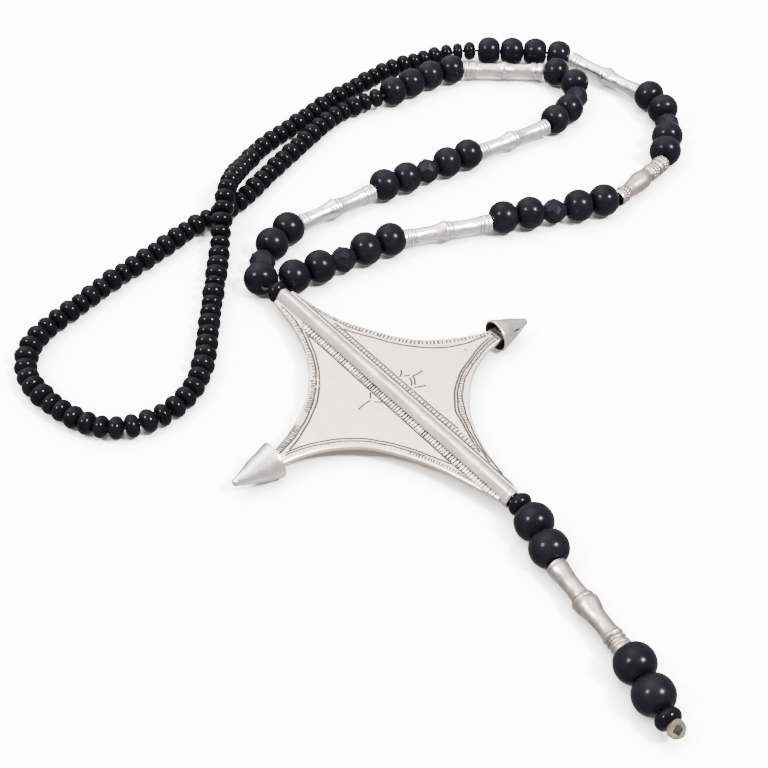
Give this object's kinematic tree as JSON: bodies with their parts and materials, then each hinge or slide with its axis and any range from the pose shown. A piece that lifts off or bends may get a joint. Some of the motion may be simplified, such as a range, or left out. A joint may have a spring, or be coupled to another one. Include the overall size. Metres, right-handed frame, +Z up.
{
  "type": "beaded wedding necklace with pendant",
  "caption": "Long necklace of black round, faceted and small beads with silver spacer tubes and a large four-armed silver pendant, laid flat with one crossing.",
  "frame": {"origin": "middle of the box of the whole necklace, on the surface that it lies on", "axes": "+X to the right and +Y away from the viewer, as laid with its drop towards the viewer; +Z up from the surface"},
  "size_m": [0.2127, 0.2949, 0.0141],
  "materials": {
    "silver": "satin warm-white silver sheet with dark engraved lines",
    "black_bead": "polished black, semi-gloss",
    "cut_bead": "blue-black with flat facets, dull",
    "thread": "black twisted thread",
    "hide": "pale undyed hide"
  },
  "bodies": {
    "root": {"pendant": "silver", "thread": "thread", "left_round_beads": "black_bead", "right_round_beads": "black_bead", "small_beads_left": "black_bead", "small_beads_right": "black_bead", "left_faceted_bead_1": "cut_bead", "left_faceted_bead_2": "cut_bead", "left_faceted_bead_3": "cut_bead", "right_faceted_bead_1": "cut_bead", "right_faceted_bead_2": "cut_bead", "right_faceted_bead_3": "cut_bead", "left_tube_1": "silver", "left_tube_2": "silver", "left_tube_3": "silver", "right_tube_1": "silver", "right_tube_2": "silver", "right_tube_3": "silver", "top_small_bead": "black_bead", "bottom_small_bead": "black_bead", "drop_bead_1": "black_bead", "drop_bead_2": "black_bead", "drop_tube": "silver", "drop_bead_3": "black_bead", "drop_bead_4": "black_bead", "end_small_bead": "black_bead", "stop_washer": "hide"}
  },
  "joints": []
}
